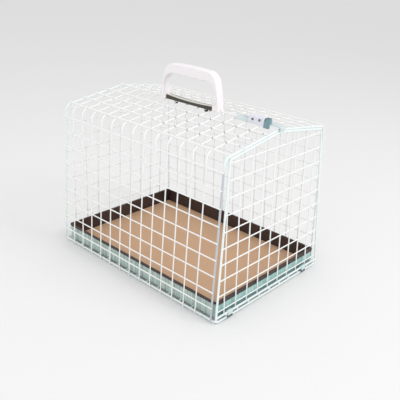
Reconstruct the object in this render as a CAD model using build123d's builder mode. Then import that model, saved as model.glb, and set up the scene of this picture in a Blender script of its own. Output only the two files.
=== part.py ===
"""Bird travel carrier: a welded wire cage on a rail base, with a drop-down door, a ridge latch,
a carrying handle, and a folded tray with a floor board.

Millimetres. +Z is up, the ridge runs along Y, the door is at -Y, and the origin is on the ground
under the middle of the cage. `out` always means away from the cabin.
"""
from build123d import *
import math
import os

# ---- wires ------------------------------------------------------------------------------------
mesh_wire = 2.1  # diameter of the wires of every mesh
frame_wire = 3.4  # diameter of the base rails and the door frame
hoop_wire = 3.4  # diameter of the two end hoops
floor_wire = 3.0  # diameter of the cross wires that carry the tray
weld_sink = 0.01  # how far two welded wires sink into each other
butt_sink = 0.02  # how far a wire's end sinks into the wire that it meets
wire_overhang = 2.0  # how far the long wires run past the end hoops

# ---- cage -------------------------------------------------------------------------------------
overall_length = 404.4  # over the curled wire ends of the door and of the rear panel
rail_half = 138.35  # middle of the cage to a side rail
eave_half = 128.5  # middle of the cage to the eave corner
eave_z = 271.0
ridge_z = 289.7
eave_radius = 12.0
rail_corner_radius = 6.0
front_hoop_setback = 10.0  # front rail to front hoop
rear_hoop_lean = 7.0  # how far the rear panel leans forward from its rail to the eave

# ---- mesh spacing -----------------------------------------------------------------------------
first_upright = 33.5  # front hoop to the first upright
last_upright = 29.32  # last upright to the rear rail
upright_count = 13
first_rise = 23.8  # side rail to the first long wire
cell_height = 27.9
wall_long_wires = 9
ridge_to_first = 33.75  # ridge wire to the next long wire of the roof, measured level
roof_cell = 27.0
roof_long_wires = 3  # on each slope, between the ridge wire and the eave wire
panel_first = 21.5  # left post's foot to the first upright of an end panel
panel_last = 31.7  # last upright to the right post's foot
panel_uprights = 9
panel_rise = 9.7  # door bar to the first cross wire of an end panel
panel_cell_height = 26.7
panel_cross_wires = 10

# ---- door -------------------------------------------------------------------------------------
door_bar_lift = 8.0  # front rail to the door's bottom bar, centre to centre
door_foot_out = 0.65  # side rail to the foot of the door's post, seen from the front
door_top_inset = 10.0  # eave corner in to the door's corner
door_corner_drop = 3.5  # eave corner down to the door's corner
door_apex_drop = 4.0  # ridge down to the door's apex
door_corner_radius = 4.0
door_lean = 8.8  # how far the door leans in between its bottom bar and its apex
post_stub = 4.0  # the posts run this far under the bottom bar
catch_x = 2.0  # the left top bar turns down here, just past the middle
catch_drop = 8.0
catch_radius = 2.4
ring_thick = 1.5
ring_width = 11.0
ring_insets = (30.35, 41.35)  # left and right side rail to the middle of the ring
hinge_fit = 0.05

# ---- handle -----------------------------------------------------------------------------------
handle_y = 3.0  # middle of the handle
handle_span = 138.0  # over the feet
handle_rise = 62.4  # ridge wire to the top of the grip
handle_crown = 2.2  # how much higher the middle of the grip's top is than its shoulders
grip_thick = 17.4
grip_width = 15.5
leg_thick = 6.2  # at the foot
leg_splay = 13.0  # how far each leg's outer face leans out from its shoulder to its foot
leg_bow = 3.0  # how far that face bulges
shoulder_radius = 22.0
throat_radius = 25.5
throat_flat = 0.7  # throat's bend to the fingers' end
grip_edge = 2.0  # rounding of the grip's long edges
finger_lead = 9.1  # end of the fingers to the first cusp
finger_plain = 14.5  # plain stretch behind the last finger
finger_depth = 2.2
finger_cusp_radius = 4.0
boss_length = 13.0  # each foot's boss holds an end of the strap
boss_rise = 7.0  # ridge wire to the top of the boss
foot_sink = 2.0  # top of the ridge wire to the underside of the feet
notch_fit = 0.25  # ridge wire to the notch in each foot
strap_width = 12.0
strap_thick = 1.2
strap_lift = 0.6  # ridge wire to the strap, at its middle
strap_bow = 3.0  # how far the strap's ends stand above its middle
strap_grip = 6.0  # how far the strap runs into each boss
strap_foot_sink = 0.02  # how far the strap's edges sink into the roof wires
clip_seats = ((4, 13.4), (7, 5.4))  # each clip: an upright before it, and how far past it
clip_length = 4.0
clip_thick = 0.9
clip_drop = 6.6  # ridge wire's centre to the inside of the clip's closed end
clip_foot = 2.6  # inside width of the clip's closed end
clip_fit = 0.1  # clip's arms to the inside of the strap's edges

# ---- latch ------------------------------------------------------------------------------------
latch_front = 30.4  # front hoop to the front of the latch plate and housing
plate_length = 51.0
plate_half = 8.5
plate_crown_half = 4.5
plate_gap = 0.9  # ridge wire to the underside of the plate's crown
plate_foot_sink = 0.03  # how far the plate's edges sink into the roof wires
slot_width = 4.2
slot_margin = 5.0  # ends of the plate to the ends of its slot
sheet = 1.2
housing_length = 30.4
housing_lead = 4.4  # plate's front end to the housing's mouth
housing_gap = 0.4  # edges of the plate to the inside of the housing's cheeks
housing_taper = 4.0  # how far each cheek leans in from its foot to the top
housing_rise = 9.4  # ridge wire to the top of the housing
housing_bend = 4.2
slit_start = 14.0  # mouth of the housing to where its lower edges step up
slit_height = 1.6
pin_radius = 1.25
pin_fit = 0.05
pin_head_radius = 2.0
pin_head = 0.7
pivot_setback = 8.6  # mouth of the housing to the pivot pin
pin_spacing = 13.6
pivot_rise = 4.3  # ridge wire to the pivot pin
spring_pin_rise = 3.5
hub_radius = 2.0
neck_half = 1.6
hub_half = 5.2
arm_left = 4.6  # the arm runs between these distances left of the middle
arm_right = 0.6
tab_gap = 0.9  # mouth of the housing to the rear face of the tab, at its foot
tab_rake = 1.6  # how much further forward the rear face is at the top of the tab
tab_thick = 9.5
tab_round = 1.0
tab_foot_half = 11.0  # middle of the cage to the lower edge of the tab, on the left
tab_top_half = 6.0  # the same for its upper edge
tab_right = 1.5  # right face of the tab to the middle of the cage
tab_rise = 0.8  # top of the housing to the top of the tab
apron_drop = 5.2  # ridge wire's top to the lower edge of the tab's apron
apron_gap = 0.4  # tongue to the apron
tongue_width = 12.0
tongue_gap = 0.3  # ridge wire to the underside of the tongue
tongue_bend = 3.2
tongue_past_hoop = 4.0  # front hoop's centre to the tongue's down-turned lip
lip_clearance = 0.6  # lip to the highest point of the door's top bar as it swings

# ---- tray and board ---------------------------------------------------------------------------
tray_side_gap = 3.35  # middle of a side rail to the hem
tray_front_gap = 0.9  # door mesh to the hem, at the rim
tray_rear_gap = 1.2
tray_height = 29.7
tray_rest = 0.05  # floor wires to the underside of the tray
hem_reach = 2.4
end_hem = 6.2  # height of the hems of the front and rear walls
side_hem = 3.2  # the same for the side walls
board_thick = 2.4
board_gap = 0.8
board_rest = 0.05

# ---- values worked out from the sizes above ---------------------------------------------------
mesh_r = mesh_wire / 2
rail_r = frame_wire / 2
hoop_r = hoop_wire / 2
rail_curl = rail_r + mesh_r - weld_sink  # wire end's centre line round a rail or the door bar
mesh_layer = mesh_wire - weld_sink  # uprights to long wires, centre to centre
hoop_out = mesh_layer - (hoop_r + mesh_r - weld_sink)
rail_z = rail_curl + mesh_r
rear_rail_y = overall_length / 2 - rail_curl - mesh_r
front_rail_y = -rear_rail_y
front_hoop_y = front_rail_y + front_hoop_setback
uprights_run = rear_rail_y - last_upright - front_hoop_y - first_upright
cell_length = uprights_run / (upright_count - 1)
upright_ys = [front_hoop_y + first_upright + i * cell_length for i in range(upright_count)]

# The half section of the walls and roof: a straight wall, tangent to the curled wire ends round
# the rail, and a straight slope.
rail = Vector(rail_half, 0, rail_z)
eave = Vector(eave_half, 0, eave_z)
wall_lean = math.asin(rail_curl / (eave - rail).length) - math.atan2(eave.X - rail.X, eave.Z - rail.Z)
wall_dir = Vector(-math.sin(wall_lean), 0, math.cos(wall_lean))
wall_out = Vector(math.cos(wall_lean), 0, math.sin(wall_lean))
roof_dir = Vector(-eave_half, 0, ridge_z - eave_z).normalized()
roof_out = Vector(roof_dir.Z, 0, -roof_dir.X)
mitre = (wall_out + roof_out) / (1 + wall_out.dot(roof_out))
bend_reach = eave_radius * math.tan(wall_dir.get_angle(roof_dir) * math.pi / 360)
rear_lean = math.atan2(rear_hoop_lean, eave_z - rail_z)
door_foot_half = rail_half + door_foot_out
door_top_half = eave_half - door_top_inset
door_corner_z = eave_z - door_corner_drop
door_apex_z = ridge_z - door_apex_drop
panel_cell = (2 * door_foot_half - panel_first - panel_last) / (panel_uprights - 1)


def at(point, y):
    """The point of the section, at this place along the cage."""
    return Vector(point.X, y, point.Z)


def mirrored(point, side):
    """The point on the right (side 1) or on the left (side -1)."""
    return Vector(point.X * side, point.Y, point.Z)


def section(out):
    """Wall foot, eave corner and ridge of the section's right half, moved out by `out`."""
    corner = eave + mitre * out
    foot = corner - wall_dir * ((corner.Z - rail_z) / wall_dir.Z)
    ridge = corner + roof_dir * (corner.X / -roof_dir.X)
    return foot, corner, ridge


def seam(out):
    """Where the wall's wires meet the roof's, at the start of the eave bend."""
    return section(out)[1] - wall_dir * bend_reach


def rear_y(z):
    """The plane of the leaning rear panel, at this height."""
    return rear_rail_y - (z - rail_z) * math.tan(rear_lean)


def straight_wire(start, end, diameter):
    """A round wire along one straight run."""
    with BuildPart() as rod:
        with BuildSketch(Plane(origin=start, z_dir=end - start)):
            Circle(diameter / 2)
        extrude(amount=(end - start).length)
    return rod.part


def arc_wire(start, end, tangent, diameter):
    """A round wire along an arc that leaves `start` in this direction."""
    with BuildPart() as rod:
        with BuildLine() as path:
            TangentArc(start, end, tangent=tangent)
        with BuildSketch(Plane(origin=start, z_dir=tangent)):
            Circle(diameter / 2)
        sweep()
    return rod.part


def bent_wire(points, radii, diameter):
    """A bent wire, with a solid for each straight run and each bend."""
    pieces = []
    start = points[0]
    for corner, after, radius in zip(points[1:], points[2:], radii):
        before = (corner - start).normalized()
        beyond = (after - corner).normalized()
        reach = radius * math.tan(before.get_angle(beyond) * math.pi / 360)
        entry = corner - before * reach
        pieces.append(straight_wire(start, entry, diameter))
        start = corner + beyond * reach
        pieces.append(arc_wire(entry, start, before, diameter))
    return pieces + [straight_wire(start, points[-1], diameter)]


def curled_wire(top, foot, centre, diameter):
    """A straight wire, and its lower end curled half way round the rail at `centre`."""
    curl = arc_wire(foot, centre * 2 - foot, foot - top, diameter)
    return [straight_wire(top, foot, diameter), curl]


def half(part, side):
    """The half of a symmetric piece on this side of the middle."""
    with BuildPart() as kept:
        add(part)
        split(bisect_by=Plane.YZ, keep=Keep.TOP if side > 0 else Keep.BOTTOM)
    return kept.part


def save(part, name):
    """Label the piece and write its STEP file."""
    part.label = name
    export_step(part, f"parts/{name}.step")


def save_wires(wires, name):
    """Welded wires stay a solid each: a builder would fuse the ones that touch."""
    solids = [solid for wire in wires for solid in wire.solids()]
    save(Compound(solids), name)


os.makedirs("parts", exist_ok=True)


# ---- base: two end rails with bent ends, two side rails and the cross wires under the tray -------
def end_rail(y, inward):
    """A rail across the cage whose ends turn in to meet the side rails."""
    pieces = []
    reach = rail_half - rail_corner_radius
    for side in (-1, 1):
        start = Vector(side * reach, y, rail_z)
        end = Vector(side * rail_half, y + inward * rail_corner_radius, rail_z)
        pieces.append(arc_wire(start, end, Vector(side, 0, 0), frame_wire))
    return pieces + [straight_wire(Vector(-reach, y, rail_z), Vector(reach, y, rail_z), frame_wire)]


def side_rail(side):
    """A straight rail under one wall, between the turned ends of the end rails."""
    start = Vector(side * rail_half, front_rail_y + rail_corner_radius, rail_z)
    end = Vector(side * rail_half, rear_rail_y - rail_corner_radius, rail_z)
    return straight_wire(start, end, frame_wire)


def cross_wire(y):
    """A wire under the tray, between the side rails."""
    reach = rail_half - rail_r + butt_sink
    return straight_wire(Vector(-reach, y, rail_z), Vector(reach, y, rail_z), floor_wire)


save_wires(end_rail(front_rail_y, 1), "front_rail")
save_wires(end_rail(rear_rail_y, -1), "rear_rail")
save(side_rail(-1), "left_rail")
save(side_rail(1), "right_rail")
save_wires([cross_wire(y + cell_length / 2) for y in upright_ys], "floor_wires")


# ---- walls: uprights curled round the side rail, and long wires across them ---------------------
def long_wire(point, side):
    """A wire along the cage, over both end hoops."""
    start = at(mirrored(point, side), front_hoop_y - wire_overhang)
    end = at(mirrored(point, side), rear_y(point.Z) + wire_overhang)
    return straight_wire(start, end, mesh_wire)


def wall_mesh(side):
    """One wall of welded wires."""
    top = mirrored(seam(0), side)
    foot = mirrored(rail + wall_out * rail_curl, side)
    centre = mirrored(rail, side)
    uprights = []
    for y in upright_ys:
        uprights += curled_wire(at(top, y), at(foot, y), at(centre, y), mesh_wire)
    low = rail + wall_out * (rail_curl + mesh_layer)
    rises = [first_rise + j * cell_height for j in range(wall_long_wires)]
    return uprights + [long_wire(low + wall_dir * rise, side) for rise in rises]


save_wires(wall_mesh(-1), "left_wall_mesh")
save_wires(wall_mesh(1), "right_wall_mesh")


# ---- roof: cross wires bent over the eaves, long wires on top, and the ridge wire ---------------
def roof_wire(out, y, side, diameter):
    """A wire from one wall's seam over the eave to the ridge, mitred there."""
    _, corner, ridge = section(out)
    start, end = (at(mirrored(p, side), y) for p in (seam(out), corner + roof_dir * bend_reach))
    bend = arc_wire(start, end, mirrored(wall_dir, side), diameter)
    slope = straight_wire(end, at(mirrored(ridge + roof_dir, side), y), diameter)
    return [bend, half(slope, side)]


def slope_point(level, out):
    """The point of the right slope at this distance from the middle."""
    ridge = section(out)[2]
    return ridge + roof_dir * (level / roof_dir.X)


roof_levels = [ridge_to_first + k * roof_cell for k in range(roof_long_wires)]
roof_levels += [section(0)[1].X - bend_reach * abs(roof_dir.X)]
for side, name in ((-1, "left_roof_mesh"), (1, "right_roof_mesh")):
    wires = [long_wire(slope_point(level, mesh_layer), side) for level in roof_levels]
    for y in upright_ys:
        wires += roof_wire(0, y, side, mesh_wire)
    save_wires(wires, name)

ridge_wire_z = ridge_z + mesh_layer
ridge_top = ridge_wire_z + mesh_r
save(long_wire(Vector(0, 0, ridge_wire_z), 1), "ridge_wire")


# ---- end hoops: posts and gable, inside the long wires ------------------------------------------
def hoop(plane_y):
    """The posts, eave bends and slopes of a hoop, on the plane that plane_y gives."""
    low, (foot, _, _) = seam(hoop_out), section(hoop_out)
    foot = foot + wall_dir * ((rail_r - butt_sink) / wall_dir.Z)
    tilt = math.atan2(plane_y(rail_z) - plane_y(eave_z), eave_z - rail_z)
    lean = Location((0, plane_y(low.Z), low.Z)) * Rot(X=math.degrees(tilt)) * Location((0, 0, -low.Z))
    pieces = []
    for side in (-1, 1):
        ends = [at(mirrored(p, side), plane_y(p.Z)) for p in (foot, low)]
        pieces.append(straight_wire(*ends, hoop_wire))
        pieces += [lean * piece for piece in roof_wire(hoop_out, 0, side, hoop_wire)]
    return pieces


save_wires(hoop(lambda z: front_hoop_y), "front_hoop")
save_wires(hoop(rear_y), "rear_hoop")


# ---- end panels: uprights curled round a bar, and cross wires between two posts -----------------
def end_mesh(bar, inward, top_of, side_of, rises):
    """An upright panel over the bar, with the cabin on the side of `inward`."""
    curl = Vector(0, inward * rail_curl, 0)
    layer = Vector(0, inward * (rail_curl - mesh_layer), 0)
    wires = []
    for k in range(panel_uprights):
        across = Vector(k * panel_cell + panel_first - door_foot_half, 0, 0)
        top = bar + across + curl + Vector(0, 0, top_of(abs(across.X)))
        wires += curled_wire(top, bar + across + curl, bar + across, mesh_wire)
    for rise in rises:
        ends = [bar + layer + Vector(side * side_of(rise), 0, rise) for side in (-1, 1)]
        wires.append(straight_wire(*ends, mesh_wire))
    return wires


def leaned(part, bar, angle):
    """The part turned about the bar; a positive angle brings its top towards the door."""
    return Location(bar) * Rot(X=math.degrees(angle)) * Location(-bar) * part


upright_end = 1.0  # the uprights of the end panels run this far past the middle of the top bars
rises = [panel_rise + j * panel_cell_height for j in range(panel_cross_wires)]

rear_bar = Vector(0, rear_rail_y, rail_z)
hoop_foot, hoop_corner, _ = section(hoop_out)


def rear_top(level):
    """Height of the rear gable over its rail, at this distance from the middle."""
    return (slope_point(level, hoop_out).Z - rail_z) / math.cos(rear_lean) + upright_end


def rear_side(rise):
    """Middle of the rear panel to the face of its posts, at this height."""
    share = rise * math.cos(rear_lean) / (hoop_corner.Z - hoop_foot.Z)
    return hoop_foot.X + (hoop_corner.X - hoop_foot.X) * share - hoop_r + butt_sink


rear_rises = [door_bar_lift + rise for rise in rises]
rear_mesh = end_mesh(rear_bar, -1, rear_top, rear_side, rear_rises)
save_wires([leaned(wire, rear_bar, rear_lean) for wire in rear_mesh], "rear_panel_mesh")

# ---- door: it leans in, turns about its bottom bar, and swings down on to the ground -------------
door_bar = Vector(0, front_rail_y, rail_z + door_bar_lift)
door_angle = math.atan2(door_lean, door_apex_z - door_bar.Z)
corner_rise = (door_corner_z - door_bar.Z) / math.cos(door_angle)
apex_rise = (door_apex_z - door_bar.Z) / math.cos(door_angle)
post_dir = Vector(door_top_half - door_foot_half, 0, corner_rise).normalized()
top_dir = Vector(-door_top_half, 0, apex_rise - corner_rise).normalized()
door_corner = door_bar + Vector(door_top_half, 0, corner_rise)
door_foot = door_bar + Vector(door_foot_half, 0, 0)
post_end = door_foot - post_dir * post_stub


def top_bar_point(x):
    """The point of the right top bar's middle line, or of its extension, at this x."""
    return door_corner + top_dir * ((door_top_half - x) / -top_dir.X)


def trimmed(wire, others):
    """A wire cut away where these wires pass."""
    with BuildPart() as kept:
        add(wire)
        for other in others:
            add(other, mode=Mode.SUBTRACT)
    return kept.part


# The left top bar runs just past the middle and turns down; the right one ends against it.
hook_corner = mirrored(top_bar_point(-catch_x), -1)
hook_end = hook_corner - Vector(0, 0, catch_drop)
left_points = [mirrored(post_end, -1), mirrored(door_corner, -1), hook_corner, hook_end]
left_frame = bent_wire(left_points, [door_corner_radius, catch_radius], frame_wire)
right_frame = bent_wire([post_end, door_corner, top_bar_point(catch_x)], [door_corner_radius], frame_wire)
right_frame[-1] = trimmed(right_frame[-1], left_frame[2:])
bottom_bar = straight_wire(mirrored(door_foot, -1), door_foot, frame_wire)
bottom_bar = trimmed(bottom_bar, [left_frame[0], right_frame[0]])
frame = left_frame + right_frame + [bottom_bar]
save_wires([leaned(wire, door_bar, -door_angle) for wire in frame], "door_frame")


def door_top(level):
    """Height of the door's top bars over its bottom bar, at this distance from the middle."""
    return top_bar_point(level).Z - door_bar.Z + upright_end


def door_side(rise):
    """Middle of the door to the face of its posts, at this height."""
    return (door_foot + post_dir * (rise / post_dir.Z)).X - (rail_r - butt_sink) / post_dir.Z


door_mesh = end_mesh(door_bar, 1, door_top, door_side, rises)
save_wires([leaned(wire, door_bar, -door_angle) for wire in door_mesh], "door_mesh")

# Each ring grips the front rail, and the door's bottom bar turns in its upper end.
ring_xs = (ring_insets[0] - rail_half, rail_half - ring_insets[1])
for x, name in zip(ring_xs, ("left_hinge_ring", "right_hinge_ring")):
    with BuildPart() as ring:
        with BuildSketch(Plane(origin=(x, front_rail_y, rail_z), x_dir=(0, 1, 0), z_dir=(1, 0, 0))):
            grip_r = rail_r + ring_thick
            Circle(grip_r)
            with Locations((0, door_bar_lift)):
                Circle(grip_r + hinge_fit)
            make_hull()
            Circle(rail_r, mode=Mode.SUBTRACT)
            with Locations((0, door_bar_lift)):
                Circle(rail_r + hinge_fit, mode=Mode.SUBTRACT)
            with Locations((0, door_bar_lift / 2)):
                Rectangle(2 * (rail_r - ring_thick / 2), door_bar_lift, mode=Mode.SUBTRACT)
        extrude(amount=ring_width / 2, both=True)
    save(ring.part, name)

# ---- handle: a bowed channel strap astride the ridge wire, a grip moulded on its ends, two clips --
span_half = handle_span / 2
foot_z = ridge_top - foot_sink
grip_top = ridge_top + handle_rise
throat_z = grip_top - grip_thick
boss_z = ridge_top + boss_rise
strap_half = span_half - boss_length + strap_grip
strap_inside = strap_width / 2 - strap_thick
strap_foot_z = slope_point(strap_inside, mesh_r).Z - strap_foot_sink


def strap_side(lift, foot):
    """The strap's side view over this level, up to this height over its underside."""
    with BuildSketch(Plane.YZ) as side:
        with BuildLine():
            dish = ThreePointArc(
                (handle_y - strap_half, ridge_top + strap_lift + strap_bow + lift),
                (handle_y, ridge_top + strap_lift + lift),
                (handle_y + strap_half, ridge_top + strap_lift + strap_bow + lift),
            )
            Polyline(dish @ 0, (handle_y - strap_half, foot), (handle_y + strap_half, foot), dish @ 1)
        make_face()
    return side.sketch


with BuildPart() as strap:
    extrude(strap_side(strap_thick, strap_foot_z), amount=strap_width / 2, both=True)
    extrude(strap_side(0, strap_foot_z), amount=strap_inside, both=True, mode=Mode.SUBTRACT)
save(strap.part, "handle_strap")

throat_half = span_half - leg_thick
finger_end = throat_half - throat_radius - throat_flat
finger_pitch = (2 * finger_end - 2 * finger_lead - finger_plain) / 2
cusps = [handle_y - finger_end + finger_lead + i * finger_pitch for i in range(3)]
cusp_z = throat_z - finger_depth
with BuildPart() as grip:
    with BuildSketch(Plane.YZ) as grip_side:
        with BuildLine():
            shoulder_z = grip_top - handle_crown
            leg_middle = (handle_y - span_half + leg_splay / 2 - leg_bow, (foot_z + shoulder_z) / 2)
            front_shoulder = (handle_y - span_half + leg_splay, shoulder_z)
            rear_shoulder = (2 * handle_y - front_shoulder[0], shoulder_z)
            bend_z = throat_z - throat_radius
            ThreePointArc(front_shoulder, leg_middle, (handle_y - span_half, foot_z))
            Polyline(
                (handle_y - span_half, foot_z),
                (handle_y - throat_half, foot_z),
                (handle_y - throat_half, bend_z),
            )
            CenterArc((handle_y - throat_half + throat_radius, bend_z), throat_radius, 90, 90)
            first = cusps[0] - finger_lead
            Line((handle_y - throat_half + throat_radius, throat_z), (first, throat_z))
            ThreePointArc(
                (first, throat_z), (first + finger_lead / 2, throat_z - finger_depth / 4), (cusps[0], cusp_z)
            )
            for a, b in zip(cusps, cusps[1:]):
                ThreePointArc((a, cusp_z), ((a + b) / 2, throat_z), (b, cusp_z))
            last = cusps[-1] + finger_lead
            ThreePointArc(
                (cusps[-1], cusp_z), (last - finger_lead / 2, throat_z - finger_depth / 4), (last, throat_z)
            )
            Line((last, throat_z), (handle_y + throat_half - throat_radius, throat_z))
            CenterArc((handle_y + throat_half - throat_radius, bend_z), throat_radius, 0, 90)
            Polyline(
                (handle_y + throat_half, bend_z),
                (handle_y + throat_half, foot_z),
                (handle_y + span_half, foot_z),
            )
            rear_middle = (2 * handle_y - leg_middle[0], leg_middle[1])
            ThreePointArc((handle_y + span_half, foot_z), rear_middle, rear_shoulder)
            ThreePointArc(rear_shoulder, (handle_y, grip_top), front_shoulder)
        make_face()
        fillet([v for v in grip_side.vertices() if v.Y > throat_z + finger_depth], shoulder_radius)
        fillet([v for v in grip_side.vertices() if abs(v.Y - cusp_z) < finger_depth / 10], finger_cusp_radius)
    extrude(amount=grip_width / 2, both=True)
    sides = grip.faces().sort_by(Axis.X)
    rims = sides[0].edges() + sides[-1].edges()
    fillet([edge for edge in rims if edge.center().Z > boss_z - boss_rise / 2], grip_edge)
    for toward in (-1, 1):
        boss_middle = handle_y + toward * (span_half - (boss_length + leg_thick / 2) / 2)
        with Locations((0, boss_middle, (foot_z + boss_z) / 2)):
            Box(grip_width, boss_length - leg_thick / 2, boss_z - foot_z)
    with Locations((0, handle_y, foot_z)):
        Box(mesh_wire + 2 * notch_fit, handle_span, 2 * (foot_sink + notch_fit), mode=Mode.SUBTRACT)
    add(strap.part, mode=Mode.SUBTRACT)
save(grip.part, "handle_grip")

for (seat, past), name in zip(clip_seats, ("front_strap_clip", "rear_strap_clip")):
    clip_y = upright_ys[seat] + past
    clip_rise = strap_bow * ((clip_y - handle_y) / strap_half) ** 2
    clip_top = ridge_top + strap_lift + clip_rise + strap_thick / 2
    arm_out = strap_inside - clip_fit
    closed_z = ridge_wire_z - clip_drop
    foot_out = clip_foot / 2 + clip_thick
    with BuildPart() as clip:
        with BuildSketch(Plane(origin=(0, clip_y, 0), x_dir=(1, 0, 0), z_dir=(0, -1, 0))):
            with BuildLine():
                Polyline(
                    (-arm_out, clip_top),
                    (-arm_out, ridge_top),
                    (-foot_out, closed_z - clip_thick),
                    (foot_out, closed_z - clip_thick),
                    (arm_out, ridge_top),
                    (arm_out, clip_top),
                    (arm_out - clip_thick, clip_top),
                    (arm_out - clip_thick, ridge_top),
                    (clip_foot / 2, closed_z),
                    (-clip_foot / 2, closed_z),
                    (clip_thick - arm_out, ridge_top),
                    (clip_thick - arm_out, clip_top),
                    close=True,
                )
            make_face()
        extrude(amount=clip_length / 2, both=True)
        add(strap.part, mode=Mode.SUBTRACT)
    save(clip.part, name)


# ---- latch: a saddle plate, a housing with two pins, and a thumb lever with a hooked tongue ------
latch_y = front_hoop_y + latch_front
crown_z = ridge_top + plate_gap
foot_edge = slope_point(plate_half, mesh_r).Z - plate_foot_sink
saddle = [
    (-plate_half, foot_edge),
    (-plate_crown_half, crown_z),
    (plate_crown_half, crown_z),
    (plate_half, foot_edge),
]
with BuildPart() as plate:
    with BuildSketch(Plane(origin=(0, latch_y, 0), x_dir=(1, 0, 0), z_dir=(0, -1, 0))) as saddle_end:
        with BuildLine():
            Polyline(*saddle)
            offset(amount=sheet, side=Side.LEFT)
        make_face()
    extrude(amount=-plate_length)
    slot_length = plate_length - 2 * slot_margin
    with BuildSketch(Plane.XY.offset(crown_z - sheet)):
        with Locations((0, latch_y + plate_length / 2)):
            SlotOverall(slot_length, slot_width, rotation=90)
    extrude(amount=3 * sheet, mode=Mode.SUBTRACT)
save(plate.part, "latch_plate")

plate_slope = math.atan2(crown_z - foot_edge, plate_half - plate_crown_half)
cheek_in = plate_half + sheet * math.sin(plate_slope) + housing_gap
cheek_z = slope_point(cheek_in, mesh_r).Z - plate_foot_sink
housing_top = ridge_top + housing_rise
cheek_lean = math.atan2(housing_taper, housing_top - cheek_z)
cheek_level = sheet / math.cos(cheek_lean)
mouth_y = latch_y - housing_lead
pivot = Vector(0, mouth_y + pivot_setback, ridge_top + pivot_rise)


def cheek_out(z):
    """Middle of the cage to the outer face of a cheek, at this height."""
    return cheek_in + cheek_level - (z - cheek_z) * math.tan(cheek_lean)


spring_pin = Vector(0, pivot.Y + pin_spacing, ridge_top + spring_pin_rise)


def across_cage(centre):
    """The plane across the cage's middle line, through this point, looking along +X."""
    return Plane(origin=centre, x_dir=(0, 1, 0), z_dir=(1, 0, 0))


with BuildPart() as housing:
    with BuildSketch(Plane(origin=(0, mouth_y, 0), x_dir=(1, 0, 0), z_dir=(0, -1, 0))) as arch:
        ceiling = housing_top - sheet
        ceiling_half = cheek_out(ceiling) - cheek_level
        with BuildLine():
            Polyline(
                (-cheek_out(cheek_z), cheek_z),
                (-cheek_out(housing_top), housing_top),
                (cheek_out(housing_top), housing_top),
                (cheek_out(cheek_z), cheek_z),
                (cheek_in, cheek_z),
                (ceiling_half, ceiling),
                (-ceiling_half, ceiling),
                (-cheek_in, cheek_z),
                close=True,
            )
        make_face()
        fillet([v for v in arch.vertices() if v.Y > (housing_top + ceiling) / 2], housing_bend)
        inner = [v for v in arch.vertices() if abs(v.Y - ceiling) < sheet / 4]
        fillet(inner, housing_bend - sheet)
    extrude(amount=-housing_length)
    for pin_centre in (pivot, spring_pin):
        with BuildSketch(across_cage(pin_centre)):
            Circle(pin_radius)
        extrude(amount=cheek_out(cheek_z), both=True, mode=Mode.SUBTRACT)
    with BuildSketch(across_cage(Vector(0, mouth_y + slit_start + housing_length / 2, cheek_z))):
        Rectangle(housing_length, 2 * slit_height)
    extrude(amount=cheek_out(cheek_z), both=True, mode=Mode.SUBTRACT)
save(housing.part, "latch_housing")


def headed_pin(centre):
    """A pin through both cheeks, with a head seated on the outside of each."""
    seat = cheek_out(centre.Z)
    with BuildPart() as pin:
        with BuildSketch(across_cage(centre)):
            Circle(pin_radius)
        extrude(amount=seat, both=True)
        for side in (-1, 1):
            with BuildSketch(across_cage(centre + Vector(side * (seat + pin_head / 2 - sheet / 4), 0, 0))):
                Circle(pin_head_radius)
            extrude(amount=pin_head / 2 + sheet / 4, both=True)
        add(housing.part, mode=Mode.SUBTRACT)
    return pin.part


save_wires([headed_pin(pivot), headed_pin(spring_pin)], "latch_pins")

tongue_z = ridge_top + tongue_gap
tab_foot = tongue_z + sheet
tab_top = housing_top + tab_rise
tab_rear = mouth_y - tab_gap
apron_z = ridge_top - apron_drop
apron_right = tongue_width / 2 + apron_gap
arm_middle = (arm_left + arm_right) / 2
arm_length = pivot.Y - tab_rear + tab_rake + tab_thick / 2
with BuildPart() as lever:
    with BuildSketch(Plane.YZ):
        with BuildLine():
            Polyline(
                (tab_rear, apron_z),
                (tab_rear, tab_foot),
                (tab_rear - tab_rake, tab_top),
                (tab_rear - tab_thick, tab_top),
                (tab_rear - tab_thick, apron_z),
                close=True,
            )
        make_face()
    extrude(amount=tab_foot_half, both=True)
    with BuildSketch(Plane(origin=(0, tab_rear, 0), x_dir=(1, 0, 0), z_dir=(0, -1, 0))):
        with BuildLine():
            Polyline(
                (-tab_foot_half, apron_z),
                (-tab_top_half, tab_top),
                (-tab_right, tab_top),
                (-tab_right, tab_foot),
                (-apron_right, tab_foot),
                (-apron_right, apron_z),
                close=True,
            )
        make_face()
    extrude(amount=tab_thick, mode=Mode.INTERSECT)
    top_edges = lever.faces().sort_by(Axis.Z)[-1].edges()
    fillet([edge for edge in top_edges if edge.center().Y < tab_rear - tab_rake / 2], tab_round)
    with BuildSketch(across_cage(pivot)):
        Circle(hub_radius)
    extrude(amount=hub_half, both=True)
    with BuildSketch(across_cage(pivot - Vector(arm_middle, 0, 0))):
        with Locations((-arm_length / 2, 0)):
            Rectangle(arm_length, 2 * neck_half)
    extrude(amount=arm_middle - arm_right, both=True)
    with BuildSketch(across_cage(pivot)):
        Circle(pin_radius + pin_fit)
    extrude(amount=hub_half, both=True, mode=Mode.SUBTRACT)
save(lever.part, "latch_lever")

lip_y = front_hoop_y - tongue_past_hoop
swing_radius = apex_rise + rail_r
lip_z = door_bar.Z + swing_radius + lip_clearance
with BuildPart() as tongue:
    with BuildSketch(Plane.YZ):
        with BuildLine():
            FilletPolyline(
                (tab_rear, tongue_z), (lip_y, tongue_z), (lip_y, lip_z), radius=tongue_bend - sheet
            )
            offset(amount=sheet, side=Side.RIGHT)
        make_face()
    extrude(amount=tongue_width / 2, both=True)
save(tongue.part, "latch_tongue")

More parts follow.
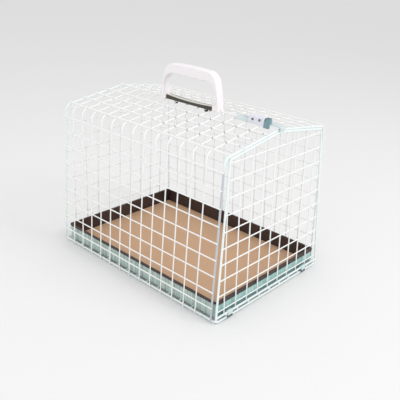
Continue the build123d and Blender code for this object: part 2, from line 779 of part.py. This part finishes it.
# ---- tray: a floor and four sides with hems turned out and down, open at the corners -------------
tray_z = rail_z + floor_wire / 2 + tray_rest
rim_z = tray_z + tray_height
panel_depth = rail_curl + mesh_r  # plane of an end panel to the inside of its mesh
tray_front = front_rail_y + math.tan(door_angle) * (rim_z - door_bar.Z) + panel_depth / math.cos(door_angle)
tray_front = tray_front + tray_front_gap
tray_rear = rear_y(rim_z) - panel_depth / math.cos(rear_lean) - tray_rear_gap
side_out = rail_half - tray_side_gap - hem_reach
front_out = tray_front + hem_reach
rear_out = tray_rear - hem_reach
tray_middle = (front_out + rear_out) / 2
end_half = (rear_out - front_out) / 2


def tray_side(plane, reach, hem):
    """A side of the tray, `reach` each way from the plane; the plane's X points out of the tray."""
    with BuildPart() as wall:
        with BuildSketch(plane):
            with BuildLine():
                Polyline(
                    (0, tray_z),
                    (0, rim_z - sheet),
                    (hem_reach - sheet, rim_z - sheet),
                    (hem_reach - sheet, rim_z - hem),
                    (hem_reach, rim_z - hem),
                    (hem_reach, rim_z),
                    (-sheet, rim_z),
                    (-sheet, tray_z),
                    close=True,
                )
            make_face()
        extrude(amount=reach, both=True)
    return wall.part


def outward_plane(origin, direction):
    """An upright plane with X pointing this way and Y up."""
    return Plane(origin=origin, x_dir=direction, z_dir=Vector(direction).cross(Vector(0, 0, 1)))


with BuildPart() as tray_floor:
    with BuildSketch(Plane.XY.offset(tray_z)):
        with Locations((0, tray_middle)):
            Rectangle(2 * (side_out - sheet), 2 * (end_half - sheet))
    extrude(amount=sheet)
tray_parts = [
    tray_floor.part,
    tray_side(outward_plane((0, front_out, 0), (0, -1, 0)), side_out, end_hem),
    tray_side(outward_plane((0, rear_out, 0), (0, 1, 0)), side_out, end_hem),
    tray_side(outward_plane((-side_out, tray_middle, 0), (-1, 0, 0)), end_half - sheet, side_hem),
    tray_side(outward_plane((side_out, tray_middle, 0), (1, 0, 0)), end_half - sheet, side_hem),
]
save_wires(tray_parts, "tray")

with BuildPart() as board:
    with BuildSketch(Plane.XY.offset(tray_z + sheet + board_rest)):
        with Locations((0, tray_middle)):
            Rectangle(2 * (side_out - sheet - board_gap), 2 * (end_half - sheet - board_gap))
    extrude(amount=board_thick)
save(board.part, "tray_board")

print("door axis", tuple(door_bar), "latch axis", tuple(pivot))
print("ridge top", ridge_top, "grip top", grip_top, "housing top", housing_top, "lip", lip_z)
print("tray", tray_z, rim_z, tray_front, tray_rear, "door angle", math.degrees(door_angle))
print("throat", throat_z, cusp_z, "boss", boss_z, "strap foot", strap_foot_z, "clip", closed_z)
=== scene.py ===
# %% [markdown]
# # A wire bird carrier with a gabled roof
#
# The real thing is a cage of white coated wire for carrying a small bird to the vet. A sheet-metal
# tray with a hardboard floor stands in it, the end door drops down, a thumb latch on the ridge
# holds the door, and a moulded grip over the ridge carries it all. The packed model comes first.
# It has the shape of every wire already, and modelling them again could only move them. So each
# piece is kept and gets the finish of the real one, and a few get rounded edges.

# %% The packed model and its size
import math

import bpy
from mathutils import Matrix, Vector


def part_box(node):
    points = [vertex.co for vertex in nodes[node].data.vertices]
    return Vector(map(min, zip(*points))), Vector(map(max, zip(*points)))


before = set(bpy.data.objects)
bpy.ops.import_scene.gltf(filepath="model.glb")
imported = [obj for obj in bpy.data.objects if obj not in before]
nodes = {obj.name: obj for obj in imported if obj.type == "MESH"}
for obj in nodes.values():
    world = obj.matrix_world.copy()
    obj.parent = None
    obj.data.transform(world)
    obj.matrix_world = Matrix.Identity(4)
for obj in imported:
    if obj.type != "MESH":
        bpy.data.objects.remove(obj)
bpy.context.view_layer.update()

# %% [markdown]
# ## The camera
#
# A camera could be aimed at a target by a constraint. Here its place, heading, tilt and a small
# roll are written instead, as they would be read off a tripod, and turned into the three axes that
# a camera has: right, up, and back towards whoever holds it. The lens is a little longer than a
# normal one, and stands back, so the near corner of the cage doesn't look stretched.

# %% The camera
camera_place = Vector((-0.7226, -0.6870, 0.5462))
camera_heading = math.radians(47.61)  # swung this far round to the left of the door
camera_tilt = math.radians(23.67)
camera_roll = math.radians(2.36)
lens_mm, sensor_mm = 52.64, 36
nearest_seen = 0.01

level_back = Vector((-math.sin(camera_heading), -math.cos(camera_heading), 0))
back = level_back * math.cos(camera_tilt) + Vector((0, 0, math.sin(camera_tilt)))
level_right = Vector((0, 0, 1)).cross(back).normalized()
level_up = back.cross(level_right)
right = level_right * math.cos(camera_roll) + level_up * math.sin(camera_roll)
up = back.cross(right)

camera_data = bpy.data.cameras.new("camera")
camera_data.lens = lens_mm
camera_data.sensor_width = sensor_mm
camera_data.clip_start = nearest_seen
camera = bpy.data.objects.new("camera", camera_data)
turn = Matrix((right, up, back)).transposed().to_4x4()
camera.matrix_world = Matrix.Translation(camera_place) @ turn
bpy.context.scene.collection.objects.link(camera)
bpy.context.scene.camera = camera
print("camera looks along", [round(-c, 3) for c in back])

# %% [markdown]
# ## Shader arithmetic
#
# A mask in a finish is worked out by many small sums, and in Blender each of them is a Math node.
# The nodes could be added and linked one at a time, but a finish is easier to read as a sum than
# as a web. `Flow` wraps what comes out of a socket, so that `1 - mask` or `noise * 0.1 + 0.3` adds
# the Math nodes by itself.


# %% Flow, for sums of sockets
class Flow:
    """What comes out of a socket, with arithmetic on it."""

    def __init__(self, finish, socket):
        self.finish = finish
        self.socket = socket

    def maths(self, operation, *values):
        return self.finish.maths(operation, *values)

    def __add__(self, other):
        return self.maths("ADD", self, other)

    def __radd__(self, other):
        return self.maths("ADD", other, self)

    def __sub__(self, other):
        return self.maths("SUBTRACT", self, other)

    def __rsub__(self, other):
        return self.maths("SUBTRACT", other, self)

    def __mul__(self, other):
        return self.maths("MULTIPLY", self, other)

    def __rmul__(self, other):
        return self.maths("MULTIPLY", other, self)

    def __gt__(self, other):
        return self.maths("GREATER_THAN", self, other)

    def __lt__(self, other):
        return self.maths("LESS_THAN", self, other)

    def __abs__(self):
        return self.maths("ABSOLUTE", self)


print("Flow is ready for +, -, *, >, < and abs")

# %% [markdown]
# ## Building a finish
#
# A material is a tree of nodes, and so is the sky. `Finish` holds one of them while it is built.
# Every node comes from `Finish.node`, which sets the node first and then feeds its sockets. The
# few kinds that come up again and again have a short method each: the place and the direction of
# the surface, noise, a mix of two colours, a soft threshold and a bump.


# %% Finish, for the nodes
class Finish:
    """A material, or the sky, while it is built."""

    def __init__(self, name, shelf=bpy.data.materials, output="OutputMaterial"):
        self.block = shelf.new(name)
        self.block.use_nodes = True
        self.tree = self.block.node_tree
        self.tree.nodes.clear()
        self.output = output

    def node(self, kind, settings=None, sockets=None, out=0):
        """Adds a node, sets it, feeds its sockets, and gives back an output if it has any."""
        made = self.tree.nodes.new("ShaderNode" + kind)
        for key, value in (settings or {}).items():
            setattr(made, key, value)
        for key, value in (sockets or {}).items():
            self.feed(made.inputs[key], value)
        return Flow(self, made.outputs[out]) if made.outputs else None

    def feed(self, socket, value):
        """Links what flows into a socket, or writes a plain number, vector or colour on it."""
        if isinstance(value, Flow):
            self.tree.links.new(value.socket, socket)
        elif socket.type == "RGBA":
            socket.default_value = (*value, 1)
        else:
            socket.default_value = value

    def maths(self, operation, *values):
        return self.node("Math", {"operation": operation}, dict(enumerate(values)))

    def place(self):
        """The point of the piece being shaded, in metres in the carrier's own axes."""
        return self.node("TexCoord", out="Object")

    def scaled_place(self, scale):
        """The place with each axis scaled: noise comes out long where the scale is small."""
        return self.node("Mapping", None, {"Vector": self.place(), "Scale": scale})

    def place_along(self, axis):
        """How far along x, y or z the point being shaded lies."""
        return self.node("SeparateXYZ", None, {"Vector": self.place()}, out=axis.upper())

    def facing_along(self, axis):
        """How much the surface faces along x, y or z, from -1 to 1."""
        facing = self.node("TexCoord", out="Normal")
        return self.node("SeparateXYZ", None, {"Vector": facing}, out=axis.upper())

    def noise(self, size, detail=2.0, rough=0.5, where=None):
        """Noise with blotches of about this size in metres, from 0 to 1."""
        sockets = {"Scale": 1 / size, "Detail": detail, "Roughness": rough}
        sockets["Vector"] = where or self.place()
        return self.node("TexNoise", None, sockets)

    def mix(self, mask, colour, other):
        """One colour where the mask is 0, the other where it is 1."""
        # A Mix node has sockets for every kind of data: inputs 6 and 7 and output 2 are colours.
        return self.node("Mix", {"data_type": "RGBA"}, {0: mask, 6: colour, 7: other}, out=2)

    def ramp(self, value, off, on):
        """0 where the value is at `off` or beyond it, rising to 1 where it is at `on`."""
        sockets = {"Value": value, "From Min": off, "From Max": on}
        return self.node("MapRange", {"interpolation_type": "SMOOTHSTEP"}, sockets)

    def bump(self, height, depth, strength):
        return self.node("Bump", None, {"Height": height, "Distance": depth, "Strength": strength})

    def done(self, **sockets):
        """Closes the finish with a Principled shader; underscores in names stand for spaces."""
        named = {key.replace("_", " "): value for key, value in sockets.items()}
        self.close(self.node("BsdfPrincipled", None, named))
        return self.block

    def close(self, shader):
        self.node(self.output, None, {"Surface": shader})


print("a finish is built with", [name for name in vars(Finish) if not name.startswith("_")])

# %% [markdown]
# ## Colours, and dressing a piece
#
# Colours are chosen in the 0 to 255 steps of a screen, and shaders count light, so `srgb`
# turns the one into the other. `dress` puts a finish on packed pieces. Their meshes stay as they
# are: only the material in their slots changes.


# %% Colours and dressing
def srgb(red, green, blue):
    """A colour in 0 to 255 steps as the eye sees it, in the linear values that shaders use."""
    steps = [c / 255 for c in (red, green, blue)]
    return tuple(c / 12.92 if c < 0.04045 else ((c + 0.055) / 1.055) ** 2.4 for c in steps)


def dress(finish, *names):
    """Puts a finish on packed pieces, in place of the plain one that each came with."""
    for name in names:
        slots = nodes[name].data.materials
        slots.clear()
        slots.append(finish)
    print(finish.name, "on", ", ".join(names))


print("middle grey in linear values:", [round(c, 3) for c in srgb(128, 128, 128)])

# %% [markdown]
# ## Where the wires cross
#
# Every crossing of two wires is spot welded, and a small mark shows there: a weld mark, which where
# it is dark is also painted shade of the crossing. The marks could be modelled as beads, but they
# are flat, so a mask in the finish places them. The mask has to know how far a point is from the
# nearest wire of each set. The wires of a set are evenly spaced, so the first one and the pitch are
# enough: a Math node that goes up and down between 0 and half the pitch gives the distance from the
# nearest of them.

# %% The sets of wires
uprights = {"axis": "y", "first": -0.15491, "pitch": 0.027}
roof_rows = {"axis": "x", "first": 0.03375, "pitch": 0.027, "on_both_slopes": True}
wall_rows = {"axis": "z", "first": 0.0287, "pitch": 0.02786}
panel_posts = {"axis": "x", "first": -0.1175, "pitch": 0.0281}
panel_rows = {"axis": "z", "first": 0.0217, "pitch": 0.0267}
ground_row = {"axis": "z", "first": 0.0, "pitch": 9.0}  # its next row is far above the carrier


def off_wires(coat, wires):
    """How far the point being shaded is from the nearest wire of a set."""
    along = coat.place_along(wires["axis"])
    if "on_both_slopes" in wires:
        along = abs(along)
    return coat.maths("PINGPONG", along - wires["first"], wires["pitch"] / 2)


for wires in (uprights, roof_rows, wall_rows, panel_posts, panel_rows):
    print("wires spaced along", wires["axis"], "every", round(wires["pitch"] * 1000, 2), "mm")

# %% [markdown]
# ## White coated wire
#
# The wire is dipped or powder coated, so it has a thick, slightly lumpy plastic skin: nearly
# white, half glossy, with an orange-peel surface. A plain white would look like paper, so slow
# noise shifts it from a warm to a cool white and changes its gloss, and very fine noise makes the
# peel. At the welds the coat pulls thin and greys, and a dark mark there is also painted shade.
# It can also be given a painted grey shade on the left side, below a given height.

# %% The wire coat
warm_white, cool_white, minty_white = srgb(246, 246, 244), srgb(233, 236, 236), srgb(210, 229, 230)
painted_shade_grey = srgb(186, 192, 198)
ragged_by = 0.0012  # how far the outline of a weld mark strays, in metres
full_mark = 0.35  # the part of a mark's reach that has its full colour


def wire_coat(name, sets, mark, reach, cool=cool_white, fade=None, painted_shade=None):
    """A white coat with a mark of this colour and reach where the two sets of wires cross."""
    coat = Finish(name)
    off_one, off_other = (off_wires(coat, wires) for wires in sets)
    off_weld = coat.maths("SQRT", off_one * off_one + off_other * off_other)
    ragged = coat.noise(size=ragged_by) * ragged_by
    # the mark at a crossing: a weld mark, with painted shade where its colour is dark
    weld_and_shade = coat.ramp(off_weld + ragged, off=reach, on=reach * full_mark)
    if fade:
        weld_and_shade = weld_and_shade * coat.ramp(coat.place_along("y"), **fade)
    thin = coat.noise(size=0.012, detail=3.0)
    peel = coat.noise(size=0.0006)
    skin = coat.mix(thin, warm_white, cool)
    # painted shade: grey on the left side, below the given height
    if painted_shade:
        wear_and_painted_light = coat.ramp(coat.place_along("z"), **painted_shade) * (coat.place_along("x") < 0)
        skin = coat.mix(wear_and_painted_light, skin, painted_shade_grey)
    return coat.done(
        Base_Color=coat.mix(weld_and_shade, skin, mark),
        Roughness=thin * 0.15 + weld_and_shade * 0.2 + 0.26,
        Coat_Weight=0.3,
        Coat_Roughness=0.15,
        Normal=coat.bump(peel + weld_and_shade * 0.6, depth=0.00006, strength=0.4),
    )


print("the outline of a weld mark strays by", ragged_by * 1000, "mm")

# %% [markdown]
# ## Dressing the wires
#
# One coat could serve all the wires, but the carrier isn't marked evenly. The left slope of the
# roof has dark marks at the crossings at the door end, weld marks with painted shade, which fade
# towards the rear; everywhere else they are faint. The frame's thicker wires have a minty cast, and
# the front hoop's left post has a painted grey shade. So there are six coats, all from the one
# function.

# %% The wires
# the grey mark is a weld mark darkened with painted shade of the crossing
weld_and_shade_grey, faint_mark = srgb(116, 122, 122), srgb(212, 217, 217)
wide_mark, plain_mark, small_mark = 0.0026, 0.0021, 0.0016  # how far marks reach, in metres
fade_to_rear = {"off": 0.06, "on": -0.04}  # along the ridge
# painted grey shade on the front hoop's left post, below these heights
shade_below = {"off": 0.258, "on": 0.244}  # heights on the post

roof_welds, panel_welds = (uprights, roof_rows), (panel_posts, panel_rows)
wall_welds, frame_welds = (uprights, wall_rows), (uprights, ground_row)
roof_coat = wire_coat("roof_wire_coat", roof_welds, weld_and_shade_grey, wide_mark, fade=fade_to_rear)
far_roof_coat = wire_coat("far_roof_wire_coat", roof_welds, faint_mark, plain_mark)
wall_coat = wire_coat("wall_wire_coat", wall_welds, faint_mark, plain_mark)
panel_coat = wire_coat("panel_wire_coat", panel_welds, faint_mark, plain_mark)
frame_coat = wire_coat("frame_wire_coat", frame_welds, faint_mark, small_mark, minty_white)
hoop_coat = wire_coat(
    "hoop_wire_coat", frame_welds, faint_mark, small_mark, minty_white, painted_shade=shade_below
)

dress(roof_coat, "left_roof_mesh", "ridge_wire")
dress(far_roof_coat, "right_roof_mesh")
dress(wall_coat, "left_wall_mesh", "right_wall_mesh")
dress(panel_coat, "rear_panel_mesh", "door_mesh")
dress(frame_coat, "front_rail", "rear_rail", "left_rail", "right_rail", "floor_wires")
dress(frame_coat, "rear_hoop", "door_frame")
dress(hoop_coat, "front_hoop")

# %% [markdown]
# ## The tray's two-sided sheet
#
# The tray is folded from sheet that is mint outside and dark brown inside. Its rim is turned
# outward and down, so the hem shows the brown inner side. The two sides could be given two
# materials, face by face, but the packed mesh stays as it is. One finish covers both instead: masks
# built from the place and the direction of the surface say which side of the sheet is seen.

# %% Which side of the tray's sheet is seen
tray_low, tray_high = (Vector(corner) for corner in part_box("tray"))
hem_reach = 0.0024  # the hem stands out this far past the tray's sides
end_hem, side_hem = 0.0062, 0.0032  # and comes this far down
skin_depth = 0.0006  # a point within this of the sides' outer face is on it
bottom_depth = 0.001  # and within this of the tray's lowest point, underneath
squarely = 0.5  # a surface that faces along an axis by more than this faces that way


def tray_masks(sheet):
    """Where the sheet's outside is seen, and where the tray's long sides are."""
    x, y, z = (sheet.place_along(axis) for axis in "xyz")
    facing_x, facing_y, facing_z = (sheet.facing_along(axis) for axis in "xyz")
    inset = hem_reach + skin_depth
    facing_out = (abs(facing_x) > squarely) * (x * facing_x > 0)
    on_side = (abs(x) > tray_high.x - inset) * facing_out
    on_front = (y < tray_low.y + inset) * (facing_y < -squarely)
    on_rear = (y > tray_high.y - inset) * (facing_y > squarely)
    sides = on_side * (z < tray_high.z - side_hem)
    ends = (on_front + on_rear) * (z < tray_high.z - end_hem)
    underside = (facing_z < -squarely) * (z < tray_low.z + bottom_depth)
    return (sides + ends + underside) > 0.5, on_side


print("tray hem from", round(tray_high.z - end_hem, 4), "to", round(tray_high.z, 4), "m")

# %% [markdown]
# The outside has faint upright streaks, painted shadows of the upright wires. They could be drawn
# one by one, but noise whose place is scaled down along z comes out long in that direction, so one
# noise makes them all. The long sides are a greyer mint than the ends, a painted shaded copy of the
# same mint, and the ends darken along the bottom fold with painted shade. The brown inside is only
# a little cloudy.

# %% The tray's finish
streak_scale = (1, 1, 0.04)
# heights of the painted shade along the ends' bottom fold
fold_shade_heights = {"off": tray_low.z + 0.0125, "on": tray_low.z + 0.0065}


def tray_sheet():
    sheet = Finish("tray_sheet")
    outside, on_side = tray_masks(sheet)
    streak_place = sheet.scaled_place(streak_scale)
    # painted shadows of the upright wires, as streaks, which also give a faint bump
    streak_shadows = sheet.noise(size=0.004, detail=3.0, rough=0.6, where=streak_place)
    streak_shadow_mask = sheet.ramp(streak_shadows, off=0.3, on=0.7)
    end_mint = sheet.mix(streak_shadow_mask, srgb(150, 192, 187), srgb(190, 226, 222))
    # the long sides: a painted shaded copy of the ends' mint
    shaded_side_mint = sheet.mix(streak_shadow_mask, srgb(146, 164, 158), srgb(196, 213, 207))
    # painted shade: the ends darken along the bottom fold
    fold_shade = sheet.ramp(sheet.place_along("z") + streak_shadows * 0.003, **fold_shade_heights)
    fold_shaded_mint = sheet.mix(fold_shade, end_mint, srgb(118, 150, 152))
    mint = sheet.mix(on_side, fold_shaded_mint, shaded_side_mint)
    cloudy = sheet.noise(size=0.03, detail=3.0)
    brown = sheet.mix(cloudy, srgb(44, 32, 31), srgb(66, 48, 46))
    return sheet.done(
        Base_Color=sheet.mix(outside, brown, mint),
        Roughness=0.45 - outside * 0.12,
        Metallic=outside * 0.15,
        Normal=sheet.bump(streak_shadows * outside + cloudy * 0.3, depth=0.0002, strength=0.3),
    )


dress(tray_sheet(), "tray")

# %% [markdown]
# ## The tan floor board
#
# The board is pressed hardboard: short fibres give it a fine mottle, and larger clouds a gentle
# change from tan to a slightly pinker tan. A scanned board could be wrapped round it, but two
# sizes of noise give the same mottle with no seam and no file.

# %% The board's finish
fibre_scale = (1, 0.5, 1)  # the fibres lie along the carrier


def hardboard():
    board = Finish("hardboard")
    clouds = board.noise(size=0.05)
    fibre_place = board.scaled_place(fibre_scale)
    fibres = board.noise(size=0.0015, detail=4.0, rough=0.7, where=fibre_place)
    tone = board.mix(clouds, srgb(203, 165, 131), srgb(193, 155, 124))
    return board.done(
        Base_Color=board.mix(fibres * 0.35, tone, srgb(160, 128, 98)),
        Roughness=0.62 + fibres * 0.15,
        Normal=board.bump(fibres, depth=0.0002, strength=0.25),
    )


dress(hardboard(), "tray_board")

# %% [markdown]
# ## Plated sheet
#
# The latch's saddle plate and its tongue are zinc-plated sheet: pale, a little blue, with the
# faint patchwork of crystals called spangle. A Voronoi texture is a patchwork of cells already, so
# it gives the crystals, and it changes only the gloss, as they do.

# %% The plate and the tongue
crystals_per_metre = 420.0


def plated_sheet():
    zinc = Finish("plated_sheet")
    cells = {"Vector": zinc.place(), "Scale": crystals_per_metre}
    spangle = zinc.node("TexVoronoi", None, cells, out="Distance")
    haze = zinc.noise(size=0.006, detail=3.0)
    return zinc.done(
        Base_Color=zinc.mix(haze, srgb(222, 233, 234), srgb(203, 217, 220)),
        Metallic=0.35,
        Roughness=haze * 0.15 + spangle * 0.15 + 0.28,
        Normal=zinc.bump(haze, depth=0.0001, strength=0.2),
    )


dress(plated_sheet(), "latch_plate", "latch_tongue")

# %% [markdown]
# ## The hinge rings
#
# Two closed rings of strip grip the front rail, and the door's bottom bar turns in them. They are
# plated too, with a painted dark line of shade above the rail. It could be a separate thin piece,
# but two soft thresholds on the height draw the same line in the finish, and noise makes it uneven.

# %% The rings' finish
ring_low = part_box("left_hinge_ring")[0][2]
# heights of a painted line of shade above the rail
shade_line_top = {"off": ring_low + 0.0085, "on": ring_low + 0.0068}
shade_line_bottom = {"off": ring_low + 0.0028, "on": ring_low + 0.0042}


def ring_sheet():
    ring = Finish("ring_sheet")
    patches = ring.noise(size=0.002, detail=3.0)
    height = ring.place_along("z") + patches * 0.002
    # painted shade: a dark line above the rail
    darkening = ring.ramp(height, **shade_line_top) * ring.ramp(height, **shade_line_bottom)
    plated_ring = ring.mix(patches, srgb(222, 238, 238), srgb(196, 216, 219))
    return ring.done(
        Base_Color=ring.mix(darkening, plated_ring, srgb(70, 80, 82)),
        Metallic=0.35,
        Roughness=patches * 0.2 + 0.32,
        Normal=ring.bump(patches, depth=0.0001, strength=0.2),
    )


dress(ring_sheet(), "left_hinge_ring", "right_hinge_ring")

# %% [markdown]
# ## The latch's housing and pins
#
# The housing is painted a pale lavender, and its two cross pins are dull steel. Paint on sheet is
# cloudy in the large and a little grainy in the small, so its colour and its bump come from noise
# of two sizes. On the pins one fine noise does all the work.


# %% The housing and the pins
def housing_paint():
    paint = Finish("latch_shell")
    wear_and_painted_light = paint.noise(size=0.005, detail=4.0)
    grain = paint.noise(size=0.0008)
    return paint.done(
        Base_Color=paint.mix(wear_and_painted_light, srgb(226, 226, 235), srgb(207, 208, 220)),
        Roughness=wear_and_painted_light * 0.1 + 0.35,
        Coat_Weight=0.2,
        Normal=paint.bump(grain, depth=0.00005, strength=0.3),
    )


def pin_steel():
    steel = Finish("pin_steel")
    brush = steel.noise(size=0.0008, detail=3.0, rough=0.6)
    return steel.done(
        Base_Color=steel.mix(brush, srgb(146, 148, 156), srgb(96, 98, 106)),
        Metallic=0.85,
        Roughness=brush * 0.2 + 0.35,
        Normal=steel.bump(brush, depth=0.00003, strength=0.3),
    )


dress(housing_paint(), "latch_housing")
dress(pin_steel(), "latch_pins")

# %% [markdown]
# ## The latch's lever
#
# The lever is a blue-grey moulding, darker on the faces that look up: painted shade, for its top
# sits in the shadow of the housing. The direction of the surface is mask enough.

# %% The lever's finish
faces_up = {"off": 0.35, "on": 0.75}


def lever_moulding():
    moulding = Finish("latch_lever")
    swirl = moulding.noise(size=0.003, detail=4.0)
    grain = moulding.noise(size=0.0008)
    body = moulding.mix(swirl, srgb(134, 168, 176), srgb(104, 138, 148))
    # painted shade on the faces that look up
    painted_top_shade = moulding.ramp(moulding.facing_along("z") + swirl * 0.3, **faces_up)
    return moulding.done(
        Base_Color=moulding.mix(painted_top_shade, body, srgb(78, 104, 108)),
        Roughness=swirl * 0.15 + 0.34,
        Coat_Weight=0.2,
        Normal=moulding.bump(grain, depth=0.00005, strength=0.3),
    )


dress(lever_moulding(), "latch_lever")

# %% [markdown]
# ## The strap
#
# A steel strap bows between the feet of the grip. Along the middle of its top it has a painted
# highlight, and it stays dark elsewhere, so it needs two masks: how far a point is from the middle
# line, and whether the surface faces up. Its brushed grain is noise that is stretched along the
# strap.

# %% The strap's finish
brush_scale = (4, 0.08, 4)
# a painted highlight along the middle of the strap's top, out to here from its middle line
highlight_band = {"off": 0.0052, "on": 0.0040}  # out from the strap's middle line


def strap_steel():
    strap = Finish("strap_steel")
    brush_place = strap.scaled_place(brush_scale)
    brush = strap.noise(size=0.0009, detail=3.0, rough=0.6, where=brush_place)
    off_middle = abs(strap.place_along("x")) + brush * 0.0012
    # painted highlight on the middle of the top face
    wear_and_painted_light = strap.ramp(off_middle, **highlight_band) * (strap.facing_along("z") > squarely)
    dark = strap.mix(brush, srgb(58, 55, 50), srgb(92, 88, 80))
    highlight_colour = strap.mix(brush, srgb(238, 235, 225), srgb(206, 202, 190))
    return strap.done(
        Base_Color=strap.mix(wear_and_painted_light, dark, highlight_colour),
        Metallic=0.5 - wear_and_painted_light * 0.15,
        Roughness=brush * 0.2 + 0.32,
        Normal=strap.bump(brush, depth=0.00003, strength=0.3),
    )


dress(strap_steel(), "handle_strap")

# %% [markdown]
# ## The strap's clips
#
# Two bent clips hold the strap to the ridge wire. They are plated, and their closed lower ends are
# darker, which a soft threshold on the height gives, as it does on the hinge rings.

# %% The clips' finish
clip_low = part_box("front_strap_clip")[0][2]
closed_end = {"off": clip_low + 0.005, "on": clip_low + 0.003}


def clip_steel():
    clip = Finish("clip_steel")
    patches = clip.noise(size=0.001, detail=3.0)
    # darker towards the closed lower end
    darkening = clip.ramp(clip.place_along("z") + patches * 0.0015, **closed_end)
    plated = clip.mix(patches, srgb(206, 208, 204), srgb(168, 170, 168))
    return clip.done(
        Base_Color=clip.mix(darkening, plated, srgb(62, 58, 56)),
        Metallic=0.5,
        Roughness=patches * 0.2 + 0.38,
        Normal=clip.bump(patches, depth=0.00003, strength=0.3),
    )


dress(clip_steel(), "front_strap_clip", "rear_strap_clip")

# %% [markdown]
# ## The moulded grip
#
# The grip is injection-moulded white plastic with a soft gloss. The texture of a mould is very
# fine, and the eye mostly reads the broad highlights along the rounded edges, so the finish is a
# nearly even, slightly pink white with a thin clear coat over a faint grain.


# %% The grip's finish
def grip_plastic():
    plastic = Finish("grip_plastic")
    sink = plastic.noise(size=0.02)
    grain = plastic.noise(size=0.0005)
    return plastic.done(
        Base_Color=plastic.mix(sink, srgb(243, 239, 242), srgb(238, 234, 237)),
        Roughness=sink * 0.08 + 0.3,
        Coat_Weight=0.25,
        Coat_Roughness=0.2,
        Normal=plastic.bump(grain, depth=0.00003, strength=0.3),
    )


dress(grip_plastic(), "handle_grip")

# %% [markdown]
# ## Rounded edges
#
# Stamped, sawn and moulded pieces have no knife edges: each edge has a small round, which catches
# the light as a thin bright line. The rounds could be cut into the packed shapes, but a Bevel
# modifier adds them and leaves the mesh itself alone.

# %% The rounds
edge_rounds_mm = {
    "latch_housing": 0.25,
    "latch_plate": 0.25,
    "latch_tongue": 0.25,
    "latch_lever": 0.4,
    "handle_strap": 0.25,
    "left_hinge_ring": 0.3,
    "right_hinge_ring": 0.3,
    "tray_board": 0.4,
}
sharp_angle = math.radians(40)
for name, round_mm in edge_rounds_mm.items():
    bevel = nodes[name].modifiers.new("edge_round", "BEVEL")
    bevel.width = round_mm / 1000
    bevel.segments = 2
    bevel.limit_method = "ANGLE"
    bevel.angle_limit = sharp_angle
    bevel.harden_normals = True
print("edges rounded on", len(edge_rounds_mm), "pieces")

# %% [markdown]
# ## The floor
#
# The carrier stands on a very pale grey sheet, because a white wire is only seen against something
# a little darker. The sheet is so large that its edge is lost in the distance, and quite matt, so
# that it takes the carrier's shadow and mirrors no lamp. One flat face is all that it needs.

# %% The floor
floor_half = 14.0
pale, paler = (0.765, 0.765, 0.765), (0.785, 0.785, 0.785)


def floor_paper():
    paper = Finish("floor_paper")
    tone = paper.mix(paper.noise(size=0.004), paler, pale)
    return paper.done(Base_Color=tone, Roughness=0.9, Specular_IOR_Level=0.0)


floor_mesh = bpy.data.meshes.new("floor")
signs = [(-1, -1), (1, -1), (1, 1), (-1, 1)]
corners = [(across * floor_half, along * floor_half, 0) for across, along in signs]
floor_mesh.from_pydata(corners, [], [(0, 1, 2, 3)])
floor_mesh.materials.append(floor_paper())
floor = bpy.data.objects.new("floor", floor_mesh)
bpy.context.scene.collection.objects.link(floor)
print("floor:", 2 * floor_half, "m each way")

# %% [markdown]
# ## The lamps
#
# Thin white wires need soft light, or each one gets a hard bright line and a black side. One broad
# lamp stands high before the door and gives the shadow, and a weaker one on the left fills it.
# Both have grids, as studio lamps do: Blender's Spread keeps their light off the floor right below
# them, where it would leave a pool.

# %% The lamps
lamps = {
    "key_lamp": {"place": (0.5, -2.0, 1.9), "size": 1.2, "watts": 7},
    "fill_lamp": {"place": (-1.9, -0.2, 1.3), "size": 1.6, "watts": 2.8},
}
aim = Vector((0, 0, 0.15))
grid_angle = math.radians(100)
for name, lamp in lamps.items():
    lamp_data = bpy.data.lights.new(name, "AREA")
    lamp_data.size = lamp["size"]
    lamp_data.energy = lamp["watts"]
    lamp_data.spread = grid_angle
    light = bpy.data.objects.new(name, lamp_data)
    light.location = lamp["place"]
    light.rotation_euler = (aim - Vector(lamp["place"])).to_track_quat("-Z", "Y").to_euler()
    bpy.context.scene.collection.objects.link(light)
print("lamps in watts:", {name: lamp["watts"] for name, lamp in lamps.items()})

# %% [markdown]
# ## The sky
#
# Most of the light is an even pale sky, which reaches in between the wires from all sides. Far
# off, the floor and the sky have to meet without a line. So the rays that show the sky, from the
# camera, a mirror or glass, find it as dim as the floor, and the rays that light the carrier find
# it at its full strength. The Standard view then shows each colour as it is written.

# %% The sky
sky_light, sky_seen = 0.93, 0.72
sky = Finish("sky", bpy.data.worlds, "OutputWorld")
showing_rays = ("Is Camera Ray", "Is Glossy Ray", "Is Transmission Ray")
shown = sum(sky.node("LightPath", out=ray) for ray in showing_rays)
strength = sky_light - shown * (sky_light - sky_seen)
sky.close(sky.node("Background", None, {"Color": (1, 1, 1), "Strength": strength}))
bpy.context.scene.world = sky.block
bpy.context.scene.view_settings.view_transform = "Standard"
print("sky strength:", sky_light, "as light,", sky_seen, "as seen")

# %% [markdown]
